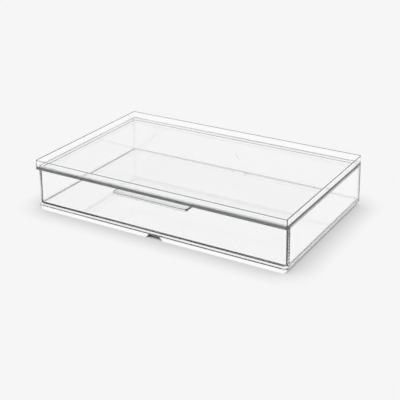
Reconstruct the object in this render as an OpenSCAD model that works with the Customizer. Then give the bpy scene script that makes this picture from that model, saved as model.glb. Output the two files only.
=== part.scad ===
// Stackable drawer box: a clear moulded case with a tray top, and one pull-out drawer.
// Millimetres, +Z up, +Y to the back. The origin is under the middle of the whole outline, on the table.

/* [Case] */
// Width of the case over its rim
case_w = 320; // [200:1:420]
// Depth of the case over its rim
case_d = 204; // [140:1:320]
// Height of the case from the table to the top of its rim
case_h = 62; // [44:0.5:140]
// Distance that the outside leans out on each side, from the rim down to the foot ring
lean = 1.5; // [0.5:0.1:3]
// Radius of the rim's four corners
corner_r = 2.2; // [2:0.1:6]
// Thickness of the side and back walls
wall_t = 1.6; // [1.4:0.1:3]
// Thickness of the top plate
top_t = 3.5; // [2:0.1:5]
// Thickness of the floor plate
floor_t = 1.8; // [1.2:0.1:4]
// Radius of the upright inner corners at the back wall, which the drawer's back corners repeat
bay_r = 4; // [3.5:0.1:8]

/* [Stacking] */
// Thickness of the rim round the tray top
rim_t = 1.2; // [0.8:0.1:1.8]
// Depth of the tray inside the rim
tray_depth = 7.8; // [4:0.1:14]
// Play between the foot ring of one box and the rim of the next
stack_play = 0.3; // [0.2:0.05:0.6]
// Height of the foot ring under the floor
foot_h = 4; // [2:0.1:6]
// Thickness of the foot ring
foot_t = 2; // [1.5:0.1:3]
// Radius of the foot ring's corners
foot_r = 3; // [2:0.1:6]
// Length of the notches in the middle of the foot ring, at the table
notch_w = 20; // [10:0.5:60]
// Length of each notch's slanted end
notch_end = 3.5; // [1:0.1:4]

/* [Gate mark] */
// Diameter of the shallow moulding recess in the back wall
gate_d = 11; // [6:0.5:16]
// Depth of that recess
gate_depth = 0.8; // [0.4:0.1:1.2]

/* [Drawer] */
// Distance of the drawer's face behind the front plane
face_set = 5; // [3:0.1:14]
// Distance of the drawer front's ends inside the case's width
face_inset = 0.4; // [0:0.1:2]
// Thickness of the drawer front
front_t = 3; // [2:0.1:5]
// Radius of the drawer front's lower corners
face_low_r = 4.5; // [2:0.1:8]
// Radius of the drawer front's upper corners
face_top_r = 1.5; // [0.5:0.1:4]
// Thickness of the drawer's side and back walls
drawer_wall_t = 1.5; // [1.2:0.1:3]
// Thickness of the drawer's floor
drawer_floor_t = 1.6; // [1.2:0.1:4]
// Distance of the side walls' top edge below the drawer front's top edge
wall_drop = 1.5; // [0:0.1:12]

/* [Clearances] */
// Play between the drawer and the case's walls, on each side
side_play = 0.4; // [0.2:0.05:1.2]
// Gap under the drawer
under_play = 0.2; // [0.15:0.05:0.8]
// Gap between the drawer front and the top plate
top_play = 0.5; // [0.3:0.1:2]
// Gap between the drawer front and the side walls' front ends
stop_play = 0.3; // [0.2:0.05:0.8]

/* [Pull] */
// Length of the pull
pull_w = 95; // [40:1:140]
// Distance that the pull stands in front of the case
pull_out = 8; // [4:0.5:20]
// Thickness of the pull
pull_t = 2.6; // [1.8:0.1:4]
// Radius of the pull's front corners
pull_r = 4; // [1:0.1:8]

/* [Hidden] */
eps = 0.01;
$fn = 96;

// Segments in a full turn round the leaning corners
lean_fn = 48;

// Length that is cut at 45 degrees from the floor plate's front corners
sill_corner = 3;

// The whole outline runs from the pull to the back wall, and the origin is in its middle.
y_front = (pull_out - case_d - lean) / 2;
y_back = y_front + case_d;

// Heights
floor_z = foot_h + floor_t;
tray_z = case_h - tray_depth;
ceiling_z = tray_z - top_t;

// The distance that the outside stands out from the rim's top edge at height z
function lean_at(z) = lean * (case_h - z) / (case_h - foot_h);

// The side walls' front ends, behind the drawer front
wall_y = y_front + face_set + front_t + stop_play;

// The foot ring drops inside the rim of the box below.
foot_inset = rim_t + stack_play;

// The drawer
drawer_z = floor_z + under_play;
drawer_top_z = ceiling_z - top_play;
drawer_inset = wall_t + side_play;
well_inset = drawer_inset + drawer_wall_t;
face_y = y_front + face_set;
tub_y = face_y + front_t;
tub_top_z = drawer_top_z - wall_drop;
tub_floor_z = drawer_z + drawer_floor_t;
face_w = case_w - 2 * face_inset;

case_colour = [0.93, 0.95, 0.96, 0.35];
drawer_colour = [0.90, 0.93, 0.95, 0.35];

// A flat slab from y0 to y1, centred on X, with its four upright corners rounded
module slab(w, y0, y1, h, r) {
    translate([-w / 2 + r, y0, 0])
        cube([w - 2 * r, y1 - y0, h]);
    translate([-w / 2, y0 + r, 0])
        cube([w, y1 - y0 - 2 * r, h]);
    for (x = [-w / 2 + r, w / 2 - r], y = [y0 + r, y1 - r])
        translate([x, y, 0])
            cylinder(r = r, h = h);
}

// A slab from height z0 to z1 that follows the lean of the outside. Carried on up to the top edge of the
// rim, it would run from y0 to the distance inset inside the rim. Its corners have the radius r.
module leaning_slab(y0, z0, z1, inset, r) {
    half_w = case_w / 2 - inset;
    half_d = (y_back - inset - y0) / 2;
    w0 = half_w + lean_at(z0);
    d0 = half_d + lean_at(z0);
    w1 = half_w + lean_at(z1);
    d1 = half_d + lean_at(z1);
    translate([0, y0 + half_d, z0])
        linear_extrude(z1 - z0, slices = 1, scale = [w1 / w0, d1 / d0])
            rounded_outline(w0, d0, r, $fn = lean_fn);
}

// A rectangle about the origin, with half sides half_w and half_d and corners of radius r
module rounded_outline(half_w, half_d, r) {
    hull()
        for (x = [r - half_w, half_w - r], y = [r - half_d, half_d - r])
            translate([x, y])
                circle(r);
}

// An upright panel from y to y + t, centred on X, with its lower and upper corners rounded
module panel(w, y, t, z0, z1, r_low, r_top) {
    translate([-w / 2 + r_low, y, z0])
        cube([w - 2 * r_low, t, r_low + eps]);
    translate([-w / 2, y, z0 + r_low])
        cube([w, t, z1 - z0 - r_low - r_top]);
    translate([-w / 2 + r_top, y, z1 - r_top - eps])
        cube([w - 2 * r_top, t, r_top + eps]);
    for (side = [-1, 1]) {
        translate([side * (w / 2 - r_low), y, z0 + r_low])
            rotate([-90, 0, 0])
                cylinder(r = r_low, h = t);
        translate([side * (w / 2 - r_top), y, z1 - r_top])
            rotate([-90, 0, 0])
                cylinder(r = r_top, h = t);
    }
}

// The slant-ended notch that runs from front to back through the foot ring
module notch_cut(y0, y1) {
    translate([0, y1, -eps])
        rotate([90, 0, 0])
            linear_extrude(y1 - y0)
                polygon([
                    [-notch_w / 2, -eps],
                    [notch_w / 2, -eps],
                    [notch_w / 2 - notch_end, foot_h + eps],
                    [-notch_w / 2 + notch_end, foot_h + eps]
                ]);
}

// The tray on top, inside the rim
module tray_pocket() {
    translate([0, 0, tray_z])
        slab(case_w - 2 * rim_t, y_front + rim_t, y_back - rim_t, tray_depth + eps, corner_r - rim_t);
}

// The bay that the drawer fills, open at the front, where the top plate and its rim stand out over it
module bay() {
    open_y = y_front - 2 * bay_r;
    leaning_slab(open_y, floor_z, ceiling_z, wall_t, bay_r);
    translate([-case_w, open_y, floor_z])
        cube([2 * case_w, wall_y - open_y, ceiling_z - floor_z]);
}

// What is cut from the floor plate's front edge and corners, so that it stands flush with the foot ring
module sill_cut() {
    sill_y = y_front + foot_inset;
    half = sill_corner / sqrt(2);
    translate([-case_w, sill_y - case_w, foot_h - eps])
        cube([2 * case_w, case_w, floor_t + 2 * eps]);
    for (side = [-1, 1])
        translate([side * (case_w / 2 + lean), sill_y, foot_h - eps])
            rotate([0, 0, 45])
                translate([-half, -half, 0])
                    cube([2 * half, 2 * half, floor_t + 2 * eps]);
}

// The ring that the case stands on, with a notch in the middle of its front and its back
module foot_ring() {
    ring_inner = foot_inset + foot_t;
    difference() {
        slab(case_w - 2 * foot_inset, y_front + foot_inset, y_back - foot_inset, foot_h + eps, foot_r);
        translate([0, 0, -eps])
            slab(case_w - 2 * ring_inner, y_front + ring_inner, y_back - ring_inner, foot_h + eps, foot_r);
        notch_cut(y_front, y_back);
    }
}

module case() {
    color(case_colour)
        difference() {
            union() {
                leaning_slab(y_front, foot_h, case_h, 0, corner_r);
                foot_ring();
            }
            tray_pocket();
            bay();
            sill_cut();
            translate([0, y_back + lean, (floor_z + ceiling_z) / 2])
                rotate([90, 0, 0])
                    cylinder(d = gate_d, h = gate_depth + lean - lean_at((floor_z + ceiling_z) / 2));
        }
}

// The pull: a flat lip along the middle of the drawer front's top edge
module pull() {
    y0 = y_front - pull_out;
    translate([0, 0, drawer_top_z - pull_t])
        intersection() {
            slab(pull_w, y0, tub_y + pull_r, pull_t, pull_r);
            translate([-pull_w / 2, y0, 0])
                cube([pull_w, tub_y - y0 - eps, pull_t]);
        }
}

// The drawer's floor, sides and back, cut off at the drawer front
module tub() {
    open_y = tub_y - 2 * bay_r;
    difference() {
        leaning_slab(open_y, drawer_z, tub_top_z, drawer_inset, bay_r);
        leaning_slab(open_y, tub_floor_z, tub_top_z + eps, well_inset, bay_r - drawer_wall_t);
        translate([-case_w, open_y - lean - eps, drawer_z - eps])
            cube([2 * case_w, tub_y - open_y + lean, tub_top_z - drawer_z + 2 * eps]);
    }
}

module drawer() {
    color(drawer_colour) {
        panel(face_w, face_y, front_t, drawer_z, drawer_top_z, face_low_r, face_top_r);
        pull();
        tub();
    }
}

case();
drawer();
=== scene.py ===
"""Clear stackable drawer box: its moulded plastic, a pale floor, soft light and the camera."""
import math

import bpy
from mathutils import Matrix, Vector

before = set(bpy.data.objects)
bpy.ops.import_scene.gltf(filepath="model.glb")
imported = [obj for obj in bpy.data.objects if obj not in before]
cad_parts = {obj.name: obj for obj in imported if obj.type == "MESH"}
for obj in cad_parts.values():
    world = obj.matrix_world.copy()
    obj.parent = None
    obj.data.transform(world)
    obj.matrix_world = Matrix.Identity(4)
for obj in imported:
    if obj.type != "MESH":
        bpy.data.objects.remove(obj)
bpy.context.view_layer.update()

# Camera: its angles and lens, its distance from the middle of the case, and two small shifts of its place
AZIMUTH = math.radians(30.16)
ELEVATION = math.radians(24.25)
DISTANCE = 1.087
SIDEWAYS = 0.00066
UPWARDS = 0.00742
LENS = 82.28
SENSOR = 36
CLIP_START = 0.02
CLIP_END = 50
CASE_MIDDLE = Vector((0, 0.00325, 0))

# Plastic: its refraction, and how strongly and in what tint it darkens a long path through it
IOR = 1.58
DENSITY = 60.0
TINT = (0.86, 0.865, 0.867)

# Tones of the plastic, each pair for a scuffed spot and for a clean one. The edge tones are painted shade:
# the rounded edges are dark by choice and draw the crisp lines that refraction gives the real box.
FACE_TONES = (0.985, 1.0)
CASE_EDGE_PAINTED_SHADES = (0.15, 0.10)
DRAWER_EDGE_PAINTED_SHADES = (0.10, 0.06)

# Surface: slow waves from moulding, fine scuffs, and the dull foot that rubs on the table
WAVE_SCALE = 14.0
WAVE_DETAIL = 1
WAVE_HEIGHT = 0.0002
WAVE_STRENGTH = 0.06
SCUFF_SCALE = 420.0
SCUFF_DETAIL = 3
SCUFF_FROM = 0.56
SCUFF_TO = 0.72
SCUFF_ROUGHNESS = 0.03
EDGE_ROUGHNESS = 0.08
RUB_HEIGHT = 0.0006
RUB_ROUGHNESS = 0.2

# Rounded edges: the fillet of the drawer's lowest edges, the share of it that other edges get, and the
# cove round the drawer's floor
FILLET = 0.0006
EDGE_SHARE = 0.83
COVE = 0.001
COVE_SEGMENTS = 6
FILLET_SEGMENTS = 4

# Clean-up before the rounding: how close points are joined, and how flat neighbouring faces are joined
WELD = 4e-5
FLAT = math.radians(0.5)

# What picks edges out: how sharp they are, and their places in the CAD frame. Those just behind the drawer
# front, on the table and round the gate mark stay sharp.
SHARP = math.radians(35)
NEAR = 1e-4
BEHIND_FRONT_Y = -0.0906
BEHIND_FRONT_HALF = 2e-4
FOOT_EDGE_Z = 0.0005
DRAWER_Z = 0.006
DRAWER_FLOOR_Z = 0.0076
GATE_CENTRE = (0, 0.1055, 0.02825)
GATE_REACH = 0.007

# Floor: half its width, and the tone that the camera sees
FLOOR_HALF = 8
FLOOR = 0.922

# The floor's painted light as seen off or through the plastic: an unshadowed glow near the box, a dark
# painted tone far from it, and the distances from the origin between which it changes
NEAR_TONE = 0.98
FAR_TONE = 0.35
FADE_FROM = 0.36
FADE_TO = 0.60

# Contact shadow: its reach round the box and its depth. Where the floor is less open than DEEP_SHADE, as in
# the gap under the box, its tone falls towards the share DEEP_TONE.
SHADOW_REACH = 0.034
SHADOW_DEPTH = 0.68
SHADOW_SAMPLES = 16
DEEP_SHADE = 0.42
DEEP_TONE = 0.02

# Studio: the tone of the room all round, as the plastic reflects and refracts it
ROOM = 0.94

# Bounces of light that the stacked clear walls need
BOUNCES = 64
TRANSPARENT_BOUNCES = 32


def make_camera():
    """The camera, at the photograph's viewing angle."""
    back = Vector((
        math.sin(AZIMUTH) * math.cos(ELEVATION),
        -math.cos(AZIMUTH) * math.cos(ELEVATION),
        math.sin(ELEVATION),
    ))
    right = Vector((math.cos(AZIMUTH), math.sin(AZIMUTH), 0))
    up = back.cross(right)
    data = bpy.data.cameras.new("camera")
    data.lens = LENS
    data.sensor_width = SENSOR
    data.clip_start = CLIP_START
    data.clip_end = CLIP_END
    camera = bpy.data.objects.new("camera", data)
    camera.location = CASE_MIDDLE + back * DISTANCE + right * SIDEWAYS + up * UPWARDS
    camera.rotation_mode = "QUATERNION"
    camera.rotation_quaternion = (-back).to_track_quat("-Z", "Y")
    bpy.context.scene.collection.objects.link(camera)
    bpy.context.scene.camera = camera


def math_node(nodes, links, operation, *values):
    """A Math node; each value is a number or another node's output."""
    node = nodes.new("ShaderNodeMath")
    node.operation = operation
    for socket, value in zip(node.inputs, values):
        if isinstance(value, (int, float)):
            socket.default_value = value
        else:
            links.new(value, socket)
    return node.outputs["Value"]


def ramp_node(nodes, links, value, start, end, low, high):
    """A smooth ramp from low at start to high at end."""
    ramp = nodes.new("ShaderNodeMapRange")
    ramp.interpolation_type = "SMOOTHSTEP"
    links.new(value, ramp.inputs["Value"])
    ramp.inputs["From Min"].default_value = start
    ramp.inputs["From Max"].default_value = end
    ramp.inputs["To Min"].default_value = low
    ramp.inputs["To Max"].default_value = high
    return ramp.outputs["Result"]


def noise_node(nodes, links, where, scale, detail):
    """Noise in the object's own coordinates."""
    noise = nodes.new("ShaderNodeTexNoise")
    noise.inputs["Scale"].default_value = scale
    noise.inputs["Detail"].default_value = detail
    links.new(where, noise.inputs["Vector"])
    return noise.outputs["Fac"]


def moulded_plastic(name, tones, scuffed, absorbing):
    """Clear plastic with waves, a rubbed foot, and scuffs that add up to the roughness scuffed."""
    scuffed_tone, clean_tone = tones
    material = bpy.data.materials.new(name)
    material.use_nodes = True
    nodes = material.node_tree.nodes
    links = material.node_tree.links
    shader = nodes["Principled BSDF"]
    shader.inputs["Transmission Weight"].default_value = 1
    shader.inputs["IOR"].default_value = IOR
    where = nodes.new("ShaderNodeTexCoord").outputs["Object"]

    waves = noise_node(nodes, links, where, WAVE_SCALE, WAVE_DETAIL)
    bump = nodes.new("ShaderNodeBump")
    bump.inputs["Strength"].default_value = WAVE_STRENGTH
    bump.inputs["Distance"].default_value = WAVE_HEIGHT
    links.new(waves, bump.inputs["Height"])
    links.new(bump.outputs["Normal"], shader.inputs["Normal"])

    scuffs = noise_node(nodes, links, where, SCUFF_SCALE, SCUFF_DETAIL)
    scuffs = ramp_node(nodes, links, scuffs, SCUFF_FROM, SCUFF_TO, 0, 1)
    # For the edge material these tones are painted shade: dark lines that stand in for refraction.
    colour = nodes.new("ShaderNodeMix")
    colour.data_type = "RGBA"
    links.new(scuffs, colour.inputs["Factor"])
    colour.inputs["A"].default_value = (clean_tone, clean_tone, clean_tone, 1)
    colour.inputs["B"].default_value = (scuffed_tone, scuffed_tone, scuffed_tone, 1)
    links.new(colour.outputs["Result"], shader.inputs["Base Color"])

    place = nodes.new("ShaderNodeSeparateXYZ")
    links.new(where, place.inputs["Vector"])
    rub = ramp_node(nodes, links, place.outputs["Z"], 0, RUB_HEIGHT, RUB_ROUGHNESS, 0)
    rough = math_node(nodes, links, "MULTIPLY_ADD", scuffs, scuffed, rub)
    links.new(rough, shader.inputs["Roughness"])

    if absorbing:
        absorb = nodes.new("ShaderNodeVolumeAbsorption")
        absorb.inputs["Color"].default_value = (*TINT, 1)
        absorb.inputs["Density"].default_value = DENSITY
        links.new(absorb.outputs["Volume"], nodes["Material Output"].inputs["Volume"])
    return material


def edge_choice(name, choose):
    """Modifier group that stores what choose(nodes, links, angle, position) gives as bevel weight."""
    group = bpy.data.node_groups.new(name, "GeometryNodeTree")
    group.interface.new_socket("Geometry", in_out="INPUT", socket_type="NodeSocketGeometry")
    group.interface.new_socket("Geometry", in_out="OUTPUT", socket_type="NodeSocketGeometry")
    nodes = group.nodes
    links = group.links
    before = nodes.new("NodeGroupInput")
    after = nodes.new("NodeGroupOutput")
    angle = nodes.new("GeometryNodeInputMeshEdgeAngle")
    position = nodes.new("GeometryNodeInputPosition").outputs["Position"]
    chosen = choose(nodes, links, angle.outputs["Signed Angle"], position)
    store = nodes.new("GeometryNodeStoreNamedAttribute")
    store.data_type = "FLOAT"
    store.domain = "EDGE"
    store.inputs["Name"].default_value = "bevel_weight_edge"
    links.new(before.outputs[0], store.inputs["Geometry"])
    links.new(chosen, store.inputs["Value"])
    links.new(store.outputs["Geometry"], after.inputs[0])
    return group


def outer_edges(nodes, links, angle, position):
    """The convex edges to round: with the full fillet under the drawer, and with a share of it elsewhere."""
    place = nodes.new("ShaderNodeSeparateXYZ")
    links.new(position, place.inputs["Vector"])
    chosen = math_node(nodes, links, "GREATER_THAN", angle, SHARP)
    behind = math_node(nodes, links, "COMPARE", place.outputs["Y"], BEHIND_FRONT_Y, BEHIND_FRONT_HALF)
    not_behind = math_node(nodes, links, "SUBTRACT", 1.0, behind)
    above_table = math_node(nodes, links, "GREATER_THAN", place.outputs["Z"], FOOT_EDGE_Z)
    to_gate = nodes.new("ShaderNodeVectorMath")
    to_gate.operation = "DISTANCE"
    links.new(position, to_gate.inputs[0])
    to_gate.inputs[1].default_value = GATE_CENTRE
    off_gate = math_node(nodes, links, "GREATER_THAN", to_gate.outputs["Value"], GATE_REACH)
    lowest = math_node(nodes, links, "COMPARE", place.outputs["Z"], DRAWER_Z, NEAR)
    share = math_node(nodes, links, "MULTIPLY_ADD", lowest, 1 - EDGE_SHARE, EDGE_SHARE)
    for allowed in (not_behind, above_table, off_gate, share):
        chosen = math_node(nodes, links, "MULTIPLY", chosen, allowed)
    return chosen


def floor_edges(nodes, links, angle, position):
    """The concave edges where the drawer's floor meets its walls."""
    place = nodes.new("ShaderNodeSeparateXYZ")
    links.new(position, place.inputs["Vector"])
    concave = math_node(nodes, links, "LESS_THAN", angle, -SHARP)
    on_floor = math_node(nodes, links, "COMPARE", place.outputs["Z"], DRAWER_FLOOR_Z, NEAR)
    return math_node(nodes, links, "MULTIPLY", concave, on_floor)


def add_bevel(obj, name, choose, width, segments, slot):
    """Round the edges that choose picks out; the new faces take the material in slot."""
    choice = obj.modifiers.new(name + "_choice", "NODES")
    choice.node_group = edge_choice(obj.name + "_" + name, choose)
    bevel = obj.modifiers.new(name, "BEVEL")
    bevel.width = width
    bevel.segments = segments
    bevel.material = slot
    bevel.limit_method = "WEIGHT"
    bevel.use_clamp_overlap = False


def dress(node, face, edge):
    """Give a CAD node its plastic, and rounded edges in the material of its second slot, painted dark as
    shade.
    """
    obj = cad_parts[node]
    obj.data.materials.clear()
    obj.data.materials.append(face)
    obj.data.materials.append(edge)
    weld = obj.modifiers.new("weld", "WELD")
    weld.merge_threshold = WELD
    flat = obj.modifiers.new("flat", "DECIMATE")
    flat.decimate_type = "DISSOLVE"
    flat.angle_limit = FLAT
    add_bevel(obj, "cove", floor_edges, COVE, COVE_SEGMENTS, 0)
    # The fillet's faces take slot 1, the edge material with its painted shade.
    add_bevel(obj, "fillet", outer_edges, FILLET, FILLET_SEGMENTS, 1)


def make_floor():
    """A plain pale floor that glows, with a painted contact shadow and a painted tone seen off or through
    the plastic.
    """
    mesh = bpy.data.meshes.new("floor")
    half = FLOOR_HALF
    corners = [(-half, -half, 0), (half, -half, 0), (half, half, 0), (-half, half, 0)]
    mesh.from_pydata(corners, [], [(0, 1, 2, 3)])
    floor = bpy.data.objects.new("floor", mesh)
    bpy.context.scene.collection.objects.link(floor)
    material = bpy.data.materials.new("floor")
    material.use_nodes = True
    nodes = material.node_tree.nodes
    links = material.node_tree.links
    nodes.remove(nodes["Principled BSDF"])
    diffuse = nodes.new("ShaderNodeBsdfDiffuse")
    diffuse.inputs["Color"].default_value = (FLOOR, FLOOR, FLOOR, 1)
    path = nodes.new("ShaderNodeLightPath")
    near = nodes.new("ShaderNodeAmbientOcclusion")
    near.samples = SHADOW_SAMPLES
    near.inputs["Distance"].default_value = SHADOW_REACH

    # Camera rays see the glow with its contact shadow painted in from ambient occlusion. Rays off or through
    # the plastic see the other tone, a painted glow.
    shade = math_node(nodes, links, "MULTIPLY_ADD", near.outputs["AO"], SHADOW_DEPTH, 1 - SHADOW_DEPTH)
    deep = ramp_node(nodes, links, near.outputs["AO"], 0, DEEP_SHADE, DEEP_TONE * FLOOR, FLOOR)
    seen = math_node(nodes, links, "MULTIPLY", shade, deep)
    where = nodes.new("ShaderNodeTexCoord").outputs["Object"]
    far = nodes.new("ShaderNodeVectorMath")
    far.operation = "LENGTH"
    links.new(where, far.inputs[0])
    other = ramp_node(nodes, links, far.outputs["Value"], FADE_FROM, FADE_TO, NEAR_TONE, FAR_TONE)
    change = math_node(nodes, links, "SUBTRACT", other, seen)
    indirect = math_node(nodes, links, "SUBTRACT", 1.0, path.outputs["Is Camera Ray"])
    tone = math_node(nodes, links, "MULTIPLY_ADD", change, indirect, seen)
    glow = nodes.new("ShaderNodeEmission")
    links.new(tone, glow.inputs["Strength"])
    mix = nodes.new("ShaderNodeMixShader")
    links.new(path.outputs["Is Diffuse Ray"], mix.inputs["Fac"])
    links.new(glow.outputs["Emission"], mix.inputs[1])
    links.new(diffuse.outputs["BSDF"], mix.inputs[2])
    links.new(mix.outputs["Shader"], nodes["Material Output"].inputs["Surface"])
    mesh.materials.append(material)


def make_world():
    """An even pale room: one tone behind the object, and one for rays off or through the plastic."""
    world = bpy.data.worlds.new("world")
    bpy.context.scene.world = world
    world.use_nodes = True
    nodes = world.node_tree.nodes
    links = world.node_tree.links
    path = nodes.new("ShaderNodeLightPath")
    direct = path.outputs["Is Camera Ray"]
    plain = math_node(nodes, links, "MAXIMUM", direct, path.outputs["Is Diffuse Ray"])
    tone = math_node(nodes, links, "MULTIPLY_ADD", plain, FLOOR - ROOM, ROOM)
    links.new(tone, nodes["Background"].inputs["Strength"])
    nodes["Background"].inputs["Color"].default_value = (1, 1, 1, 1)


make_camera()
# Each part gets clear plastic, and an edge material whose dark tones are painted shade.
for node, edge_painted_shades in (("case", CASE_EDGE_PAINTED_SHADES), ("drawer", DRAWER_EDGE_PAINTED_SHADES)):
    face = moulded_plastic(node + "_plastic", FACE_TONES, SCUFF_ROUGHNESS, True)
    edge = moulded_plastic(node + "_edges", edge_painted_shades, EDGE_ROUGHNESS, False)
    dress(node, face, edge)
make_floor()
make_world()

scene = bpy.context.scene
scene.view_settings.view_transform = "Standard"
scene.cycles.denoising_input_passes = "RGB_ALBEDO"
scene.cycles.max_bounces = BOUNCES
scene.cycles.transmission_bounces = BOUNCES
scene.cycles.glossy_bounces = BOUNCES
scene.cycles.transparent_max_bounces = TRANSPARENT_BOUNCES
